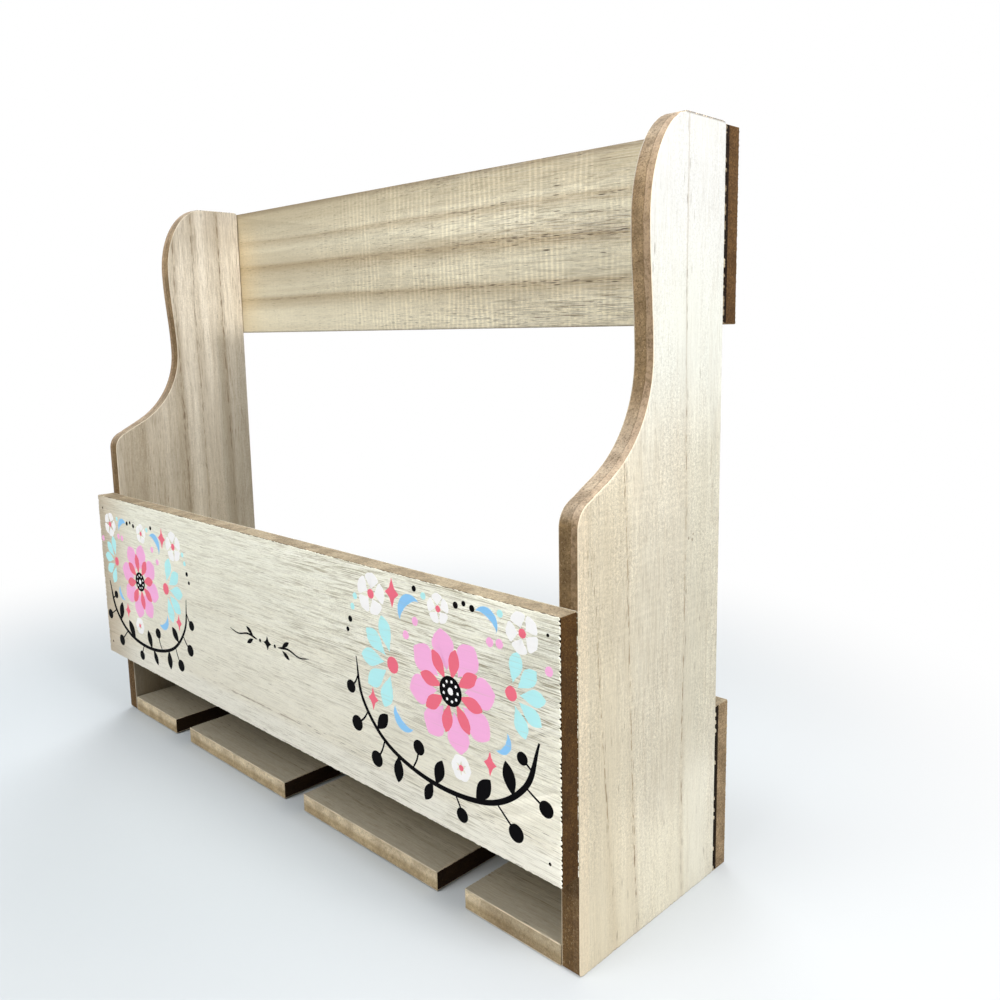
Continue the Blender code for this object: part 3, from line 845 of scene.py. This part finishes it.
def ornament():
    """One cluster of the printed ornament, as (ink, outline) pairs in millimetres.

    It is about 118 wide and 87 high."""
    shapes = []

    def add(ink, *outlines):
        shapes.extend((ink, outline) for outline in outlines)

    # The large round bloom
    bloom = (66, 50)
    add("pink", *petal_ring(bloom, 8, 8.0, 25.0, 12.6, 12, 1.45))
    add("coral", *petal_ring(bloom, 8, 5.0, 18.0, 6.0, 34.5, 1.3))
    add("black", disc(bloom, 6.3, 0.98))
    add("white", disc(bloom, 1.5), *[disc((bloom[0] + 4.1 * math.cos(a), bloom[1] + 4.1 * math.sin(a)), 0.65)
                                     for a in (math.tau * n / 9 for n in range(9))])

    # The long vine that cups it, with seed heads on stalks and short leaves
    add("black", stroke([(6, 50), (10, 31), (27, 15), (56, 8), (86, 11), (105, 24), (112, 43)], 1.6, 2.6))
    for root, head, radius in (((7, 42), (1.5, 35), 3.1), ((13, 26.5), (5, 19), 3.7),
                               ((24, 17), (18, 6.5), 3.8), ((42, 10.6), (46, 20.5), 3.4),
                               ((67, 8.3), (71, 0.3), 3.2), ((90, 12.4), (100, 4), 3.8),
                               ((105, 24), (115, 19), 3.4), ((109, 31), (103.6, 34.6), 2.7)):
        bend = ((root[0] + head[0]) / 2 + 0.6, (root[1] + head[1]) / 2 - 0.5)
        add("black", stroke([root, bend, head], 0.8, 1.0), disc(head, radius, 0.96))
    for root, tip, width in (((19, 20.5), (26.5, 29), 5.8), ((33, 12.6), (32, 0.5), 6.2),
                             ((56, 8), (60, 19.5), 6.0), ((79, 9.4), (87, 20.5), 6.8),
                             ((99, 18), (95, 31), 6.4), ((54, 8.2), (49, -1), 5.0)):
        add("black", drop(root, tip, width, 1.15))

    # Open shells of narrow blades on both sides of the bloom
    for hub, turns, reach, width in (((31, 52), (108, 144, 180, 216, 252), 21.0, 8.0),
                                     ((98.5, 58), (-66, -30, 6, 42, 78), 17.0, 6.6)):
        for turn in turns:
            way = Vector((math.cos(math.radians(turn)), math.sin(math.radians(turn))))
            add("aqua", drop(Vector(hub) + way * reach * 0.25, Vector(hub) + way * reach, width, 1.45))
        add("coral", disc(hub, reach * 0.17))

    # Half moons
    for centre, radius, turn in (((43, 77), 7.6, 130), ((86, 82), 6.2, 60), ((37.5, 31.5), 6.8, 235),
                                 ((93, 38), 5.2, -35)):
        add("blue", crescent(centre, radius, turn))

    # Small white blooms
    for centre, count, reach, turn in (((18, 80), 5, 9.4, 10), ((104.5, 82), 5, 8.2, 40),
                                       ((71, 20), 6, 5.6, 0), ((60, 82), 5, 6.4, 25)):
        add("white", *petal_ring(centre, count, reach * 0.22, reach, reach * 0.92, turn, 1.6))
        add("coral", disc(centre, reach * 0.22))

    # Diamonds and beads
    add("coral", diamond((32, 83), 4.4, 6.4), diamond((17, 33.5), 3.4, 5.2), diamond((87, 27), 3.4, 5.0))
    for centre, radius in (((70, 85.5), 1.4), ((74.5, 87), 1.1), ((79, 86), 1.4), ((46, 87.5), 1.3),
                           ((3, 66), 1.4), ((1, 61), 1.1)):
        add("black", disc(centre, radius))
    for centre in ((93, 75.5), (88, 75), (40, 67), (46, 74), (117, 71)):
        add("pink", disc(centre, 1.9))
    for centre in ((5, 72), (7, 77), (93.5, 87), (51.5, 85.5)):
        add("aqua", disc(centre, 1.5))
    return shapes


def flourish():
    """The thin rule at the middle of the board: a small diamond between two tapering lines."""
    outlines = [diamond((0, 0), 3.4, 3.6), disc((-6.6, 0), 0.9), disc((6.6, 0), 0.9)]
    for side in (-1, 1):
        line = [(side * x, y) for x, y in ((9.5, 0), (18, 1.0), (27, -0.8), (35, 0.4))]
        outlines += [stroke(line, 1.2, 0.5), drop((side * 13, 1.2), (side * 19, 4.6), 2.3, 1.1),
                     drop((side * 13, -0.8), (side * 19, -4.0), 2.3, 1.1)]
    return [("black", outline) for outline in outlines]


def print_front(inks):
    """Lays the ink on the front board's face, one object for each ink."""
    low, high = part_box("front_board")
    face = low.y + INK_ROOM
    placed = []
    for end, (inset, bottom, scale, side) in ((high.x, RIGHT_CLUSTER), (low.x, LEFT_CLUSTER)):
        start = end - side * inset
        for ink, outline in ornament():
            placed.append((ink, [(start + side * u * scale * MM, bottom + v * scale * MM)
                                 for u, v in outline]))
    middle = (low.x + high.x) / 2
    for ink, outline in flourish():
        placed.append((ink, [(middle + u * MM, FLOURISH_HEIGHT + v * MM) for u, v in outline]))

    for ink, material in inks.items():
        bleed = BLACK_BLEED if ink == "black" else INK_BLEED
        dice = random.Random(ink)
        bm = bmesh.new()
        for number, (_, outline) in enumerate(entry for entry in placed if entry[0] == ink):
            height = INK_HEIGHT[ink] * MM + number * INK_STEP
            front, back = [], []
            for x, z in outline:
                x += bleed * (dice.random() - 0.5) * 2
                front.append(bm.verts.new((x, face - height, z)))
                back.append(bm.verts.new((x, face + INK_SINK, z)))
            bm.faces.new(front)
            bm.faces.new(back[::-1])
            for n in range(len(front)):
                m = (n + 1) % len(front)
                bm.faces.new((front[n], back[n], back[m], front[m]))
        bmesh.ops.recalc_face_normals(bm, faces=bm.faces)
        layer = place_mesh(bm, "print_" + ink)
        layer.data.materials.append(material)
        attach(layer, "root")


# Materials

# Cut edges of the side panels: lighter from the foot upwards and paler where they look up, both painted
# light from above.
edge_side = make_fibreboard(
    "fibreboard_side", 1.0, ((101, 78, 49), (74, 54, 32), (186, 162, 128)), X, top=(170, 155, 134),
    stains_and_painted_light=((1.0, (127, 105, 74), (Z, 0.09, 0.01)),
            (1.0, (162, 138, 105), (Z, 0.31, 0.17))),
    seam=(184.0 * MM, (206, 180, 154)))
# Paler where it looks up: painted light from above.
edge_board = make_fibreboard(
    "fibreboard_board", 2.0, ((134, 112, 80), (78, 60, 36), (180, 158, 124)), Y, top=(161, 148, 124))
edge_slat = make_fibreboard(
    "fibreboard_slat", 3.0, ((186, 167, 132), (122, 100, 70), (214, 199, 170)), Z, speckle=0.6,
    # Paler on the upper half of the slats' front edges: painted light from above.
    stains_and_painted_light=((0.85, (230, 215, 184), (Z, 0.0072, 0.0035)),
            (0.55, (104, 90, 68), (X, 0.155, 0.125))))
end_dark = make_fibreboard(
    "fibreboard_sawn_end", 4.0, ((78, 54, 25), (42, 26, 12), (132, 103, 64)), Z, speckle=1.2)
# Darker than the other sawn ends: partly painted shade, as the slats' ends sit under the front board and the
# shelf.
end_slat = make_fibreboard("fibreboard_slat_end", 7.0, ((46, 31, 16), (23, 14, 7), (82, 62, 38)), Z)
end_back_top = make_fibreboard(
    "fibreboard_back_end", 5.0, ((90, 66, 39), (50, 33, 18), (146, 116, 82)), Z, speckle=1.4)
end_back_low = make_fibreboard(
    "fibreboard_low_end", 6.0, ((149, 129, 101), (80, 60, 38), (205, 184, 154)), Z, speckle=1.2)
# Near black: partly painted shade, in the tears, chips and nail holes where the core shows.
torn_core = make_fibreboard("fibreboard_torn", 8.0, ((30, 20, 12), (14, 9, 5), (84, 66, 46)))

veneer_side = make_veneer(
    "veneer_side", (Z, Y, X), 3.1,
    ((218, 215, 200), (194, 186, 167), (148, 130, 104), (98, 80, 58), (160, 146, 122)),
    ((-0.0248, 1.0, 0.09), (-0.0106, 1.0, 0.055), (0.0205, 0.9, 0.007)),
    wander=0.006, bands=0.55, rings=1.0, hair=0.32, pore_depth=0.6, crowding=0.42, nap=0.24,
    mottle=1.9, glint=0.25, dash=(260.0, 0.48), whole=(Z, 0.185, 0.235, 0.45),
    curl=(0.06, 0.155, 0.02, 0.07), calm=((Z, 0.25, 0.185, 0.45), (Z, 0.02, 0.10, 0.6)),
    stains_and_painted_light=((0.35, (218, 203, 172), (Y, -0.024, -0.004)),
            # The next five patches are painted shade and painted light: darker bands from the foot to the
            # shoulder, darker still at the front and back than in the middle, and a paler patch at the foot.
            (0.66, (191, 185, 167), (Z, 0.130, 0.19), (Z, 0.075, 0.04)),
            (0.60, (196, 186, 162), (Y, -0.036, -0.008), (Z, 0.16, 0.21)),
            (0.60, (192, 188, 170), (Y, 0.028, 0.012), (Z, 0.185, 0.225), (Z, 0.09, 0.06)),
            (0.35, (180, 170, 148), (Y, -0.032, -0.01), (Z, 0.165, 0.195), (Z, 0.14, 0.11)),
            (0.30, (240, 236, 215), (Y, 0.0, -0.02), (Y, 0.012, 0.03), (Z, 0.03, 0.055)),
            # Whiter towards the top: painted light on the brightly lit top.
            (0.80, (213, 216, 209), (Z, 0.235, 0.18)),
            (0.3, (224, 206, 178), (Y, -0.0435, -0.0415)),
            # Greyer white towards the top: painted light on the brightly lit top.
            (0.85, (203, 204, 202), (Z, 0.295, 0.235)),
            (0.9, (92, 84, 72), (Z, 0.3173, 0.3162))),
    flecks=((0.1550, 0.0214, 0.0009, 0.0006), (0.1540, 0.0240, 0.0009, 0.0007),
            (0.1562, 0.0246, 0.0006, 0.0006), (0.1335, 0.0205, 0.0013, 0.0004)),
    arris=(224, 209, 183), top_arris=(122, 112, 96))
veneer_side_left = make_veneer(
    "veneer_side_left", (Z, Y, X), 5.6,
    ((242, 234, 218), (182, 170, 149), (126, 106, 84), (104, 88, 68), (142, 126, 104)),
    ((-0.031, 0.7, 0.0), (-0.002, 1.0, 0.0), (0.011, 0.7, 0.0), (0.030, 1.0, 0.0)),
    wander=0.008, bands=0.85, rings=0.95, mottle=0.8,
    # Darker towards the foot and paler near the top: painted light from above.
    stains_and_painted_light=((0.45, (157, 147, 127), (Z, 0.12, 0.26)),
            (0.3, (254, 246, 230), (Z, 0.262, 0.225), (Z, 0.278, 0.306)),
            (0.3, (190, 176, 156), (Y, 0.03, 0.0), (Z, 0.308, 0.285)),
            # Darker at the back from mid height down: a painted shadow.
            (0.40, (132, 124, 106), (Y, 0.026, 0.021), (Z, 0.230, 0.248)),
            # Darkest at the foot of the inner face: painted shade under the shelf.
            (0.5, (112, 97, 70), (Z, 0.03, 0.05), (X, -0.180, -0.184))),
    arris=(214, 202, 180))
veneer_front = make_veneer(
    "veneer_front", (X, Z, Y), FRONT_SEED,
    ((229, 229, 213), (211, 206, 184), (128, 106, 76), (92, 76, 52), (152, 144, 118)),
    ((0.0545, 1.0, 0.0), (0.0955, 0.45, 0.0), (0.1165, 0.25, 0.0)),
    wander=0.005, bands=0.24, rings=0.9, hair=0.95, pore_depth=0.6, crowding=0.5, nap=0.38,
    mottle=0.9, glint=0.55, swell=((X, -0.12, 0.12, 0.6),),
    calm=((Z, 0.06, 0.10, 0.5), (X, -0.15, 0.05, 0.7)),
    # Paler towards the lower edge, palest just above it: painted light.
    stains_and_painted_light=((0.8, (250, 246, 229), (Z, 0.045, 0.135)),
            (0.75, (253, 251, 238), (Z, 0.0500, 0.0555)),
            (0.80, (180, 162, 136), (X, -0.188, -0.138))))
veneer_back = make_veneer(
    "veneer_back", (X, Z, Y), 12.4,
    ((217, 210, 185), (174, 158, 128), (90, 72, 50), (58, 44, 30), (108, 92, 68)),
    ((0.2603, 0.9, 0.0), (0.2808, 1.0, 0.0), (0.2971, 0.8, 0.0)),
    wander=0.005, bands=0.45, rings=0.95, hair=0.65, pore_depth=1.0, crowding=0.75, nap=0.44,
    mottle=1.0, glint=0.3, curl=(0.25, 0.04, 0.06, 0.14), swell=((X, -0.04, 0.13, 0.3),),
    calm=((X, -0.14, 0.0, 0.45),),
    stains_and_painted_light=((0.5, (224, 200, 154), (X, -0.18, -0.145)),
            (0.7, (178, 166, 138), (Z, 0.3095, 0.294)),
            (0.6, (126, 108, 82), (Z, 0.3160, 0.3125)),
            # A dark line along the lower edge: a painted shadow.
            (0.75, (72, 56, 40), (Z, 0.2395, 0.2400)),
            (0.4, (238, 230, 204), (Z, 0.247, 0.262))),
    # The dark edges add to the painted shadow along the lower edge.
    arris=(92, 76, 54))
veneer_back_low = make_veneer(
    "veneer_back_low", (X, Z, Y), 17.2,
    ((218, 211, 190), (178, 163, 136), (102, 82, 56), (82, 66, 46), (128, 110, 84)),
    ((0.014, 0.7, 0.0), (0.036, 0.9, 0.0), (0.061, 0.7, 0.0)),
    wander=0.007, bands=0.6, rings=0.8, pore_depth=0.8, nap=0.4)
veneer_slat = make_veneer(
    "veneer_slat", (X, Y, Z), 21.0,
    ((197, 189, 169), (169, 159, 136), (116, 98, 72), (92, 78, 58), (132, 118, 92)),
    ((-0.032, 0.6, 0.0), (0.004, 0.8, 0.0), (0.029, 0.5, 0.0)),
    rings=0.5, nap=0.36,
    # Darker towards the left and the right: painted shade.
    stains_and_painted_light=((0.4, (152, 144, 125), (X, -0.04, 0.01)),
            (0.2, (140, 130, 112), (X, 0.13, 0.10)),
            # Darker at the front of the slats' tops, under the front board: painted shade.
            (0.6, (144, 138, 122), (Y, -0.046, -0.026), (Z, 0.02, 0.03))),
    arris=(226, 210, 182))

inks = {
    "aqua": make_ink("ink_aqua", (188, 246, 249), 0.75),
    "blue": make_ink("ink_blue", (146, 207, 253), 0.75),
    "pink": make_ink("ink_pink", (254, 184, 230), 0.8),
    "white": make_ink("ink_white", (255, 255, 255), 0.95),
    "coral": make_ink("ink_coral", (245, 115, 137), 0.9),
    "black": make_ink("ink_black", (8, 7, 9), 1.0, specular=0.03),
}
steel_dark = make_steel("steel_pin", (52, 46, 42), 0.5, (34, 26, 20))
steel_zinc = make_steel("steel_hanger", (196, 196, 192), 0.32, (150, 148, 142))

# Boards

panel_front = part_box("side_panel_left")[0].y
for side, veneer, reach in (("left", veneer_side_left, (0.9 * MM, 0.5 * MM)),
                            ("right", veneer_side, (0.3 * MM, 0.9 * MM))):
    make_laminate(f"laminate_side_{side}", f"side_panel_{side}", side_panel_outline(panel_front), (Y, Z), X,
                  Z, (veneer, edge_side, edge_side, torn_core), "side_veneer", (0.3, 0.45), reach, bare=True)

slats = ("slat_left_outer", "slat_left_inner", "slat_right_inner", "slat_right_outer")
for name, node, plane, thin, materials, slot, options in (
        ("laminate_front", "front_board", (X, Z), Y, (veneer_front, edge_board, end_dark), "front_veneer",
         {"rough": (0.8, 1.1), "reach": (0.15 * MM, 0.15 * MM), "fray": 0.34 * MM, "room": INK_ROOM}),
        ("laminate_back_upper", "upper_back_board", (X, Z), Y, (veneer_back, edge_board, end_back_top),
         "back_veneer", {"rough": (1.25, 0.8), "torn": True}),
        ("laminate_back_lower", "lower_back_board", (X, Z), Y, (veneer_back_low, edge_board, end_back_low),
         "back_veneer", {"rough": (1.5, 0.8), "torn": True}),
        ("laminate_shelf", "bottle_shelf", (X, Y), Z, (veneer_slat, edge_board, end_dark), "shelf_veneer",
         {"rough": (0.4, 0.4)}),
        *((f"laminate_slat_{number}", node, (X, Y), Z, (veneer_slat, edge_slat, end_slat), "slat_veneer",
           {"rough": (0.3, 0.3)}) for number, node in enumerate(slats, 1)),
):
    low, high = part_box(node)
    flat = rounded_rectangle((low[plane[0]], low[plane[1]]), (high[plane[0]], high[plane[1]]), CORNER)
    make_laminate(name, node, flat, plane, thin, X, (*materials, torn_core), slot, **options)

print_front(inks)

for name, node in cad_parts.items():
    if "_pin_" in name or "hanger" in name:
        node.data.materials.clear()
        node.data.materials.append(steel_dark if "_pin_" in name else steel_zinc)

# Floor

FLOOR_HALF = 6.0
FLOOR_DROP = 0.05 * MM
SHADOW_MIDDLE = (-0.09, 0.0, 0.0)
SHADOW_REACH = (0.17, 0.49)
SUNNY_MIDDLE = (0.27, -0.01, 0.0)
SUNNY_REACH = (0.07, 0.20)


def make_floor():
    """Pale paper that keeps the rack's shadow close by and is plain white further off.

    As light for the rack it is bright on the key lamp's side and duller elsewhere."""
    s = Shade("floor_paper", 0.95)
    s.nodes.remove(s.shader)
    paper = s.add("BsdfDiffuse", (193, 199, 202))
    glow = s.fit(s.distance(SUNNY_MIDDLE), *SUNNY_REACH)
    bounce = s.add("BsdfDiffuse", s.mix(glow, (232, 232, 228), (180, 180, 178)))
    white = s.add("Emission", (255, 255, 255))
    fade = s.join(s.fit(s.distance(SHADOW_MIDDLE), *SHADOW_REACH), paper, white)
    both = s.join(s.looked_at(), bounce, fade)
    s.links.new(both.outputs[0], s.nodes["Material Output"].inputs["Surface"])
    return s.material


floor_mesh = bpy.data.meshes.new("floor")
floor_mesh.from_pydata([(-FLOOR_HALF, -FLOOR_HALF, 0), (FLOOR_HALF, -FLOOR_HALF, 0),
                        (FLOOR_HALF, FLOOR_HALF, 0), (-FLOOR_HALF, FLOOR_HALF, 0)], [], [(0, 1, 2, 3)])
floor_mesh.materials.append(make_floor())
floor = place_object("floor", floor_mesh)
floor.location.z = -FLOOR_DROP

# Light

HORIZON_LIGHT = 0.12
ZENITH_LIGHT = 0.27
ZENITH_START = 0.8
SKY_TONE = (0.975, 0.985, 1.0, 1.0)
FILL_TONE = (0.99, 0.99, 1.0)


def make_world():
    """A white room to the eye. As light it is soft, strong from overhead and weak from low down."""
    world = bpy.data.worlds.new("studio")
    g = Graph(world)
    seen = g.nodes["Background"]
    seen.inputs["Color"].default_value = (1, 1, 1, 1)
    seen.inputs["Strength"].default_value = 1.0
    way = g.split(g.add("TexCoord").outputs["Generated"])
    lit = g.add("Background")
    lit.inputs["Color"].default_value = SKY_TONE
    g.feed(lit.inputs["Strength"], g.fit(way[Z], 0.0, ZENITH_START, HORIZON_LIGHT, ZENITH_LIGHT))
    both = g.join(g.looked_at(), lit, seen)
    g.links.new(both.outputs[0], g.nodes["World Output"].inputs["Surface"])
    return world


def add_lamp(name, place, aim, size, power, colour):
    """A round lamp at a place, turned to its aim."""
    lamp = bpy.data.lights.new(name, "AREA")
    lamp.shape = "DISK"
    lamp.size = size
    lamp.energy = power
    lamp.color = colour
    holder = place_object(name, lamp)
    holder.location = place
    holder.rotation_euler = (Vector(aim) - Vector(place)).to_track_quat("-Z", "Y").to_euler()


bpy.context.scene.world = make_world()
add_lamp("key", (0.59, -0.05, 0.47), (0.1, 0.0, 0.21), 0.24, 2.25, (1.0, 0.985, 0.98))
add_lamp("high_key", (0.60, -0.10, 0.85), (0.1, 0.0, 0.20), 0.40, 2.6, (1.0, 0.985, 0.975))
add_lamp("front_fill", (-0.10, -0.75, 1.25), (0.0, 0.0, 0.10), 0.8, 5.0, FILL_TONE)
add_lamp("far_fill", (-0.15, -1.5, 1.6), (0.0, 0.0, 0.10), 1.4, 21.0, FILL_TONE)
add_lamp("overhead", (0.0, 0.0, 1.5), (0.0, 0.0, 0.0), 1.0, 3.6, FILL_TONE)
add_lamp("back_fill", (-0.90, 0.95, 0.80), (0.0, 0.0, 0.12), 1.0, 15.0, FILL_TONE)

# Camera, from a fit to the object's edges

VIEW_PLACE = (0.38374, -0.28757, 0.23899)
VIEW_RIGHT = Vector((0.7207345, 0.6929981, -0.0171888))
VIEW_DOWN = Vector((0.0925447, -0.1207635, -0.9883581))
VIEW_AHEAD = Vector((-0.6870060, 0.7107530, -0.1511717))
FOCAL_LENGTH = 33.149
SENSOR_WIDTH = 36
VIEW_SHIFT = (-0.0027, -0.0308)
VIEW_NEAR = 0.01
VIEW_FAR = 50

camera_data = bpy.data.cameras.new("camera")
camera_data.lens = FOCAL_LENGTH
camera_data.sensor_width = SENSOR_WIDTH
camera_data.shift_x, camera_data.shift_y = VIEW_SHIFT
camera_data.clip_start = VIEW_NEAR
camera_data.clip_end = VIEW_FAR
camera = place_object("camera", camera_data)
turn = Matrix((VIEW_RIGHT, -VIEW_DOWN, -VIEW_AHEAD)).transposed().to_4x4()
camera.matrix_world = Matrix.Translation(VIEW_PLACE) @ turn
bpy.context.scene.camera = camera

bpy.context.scene.view_settings.view_transform = "Standard"
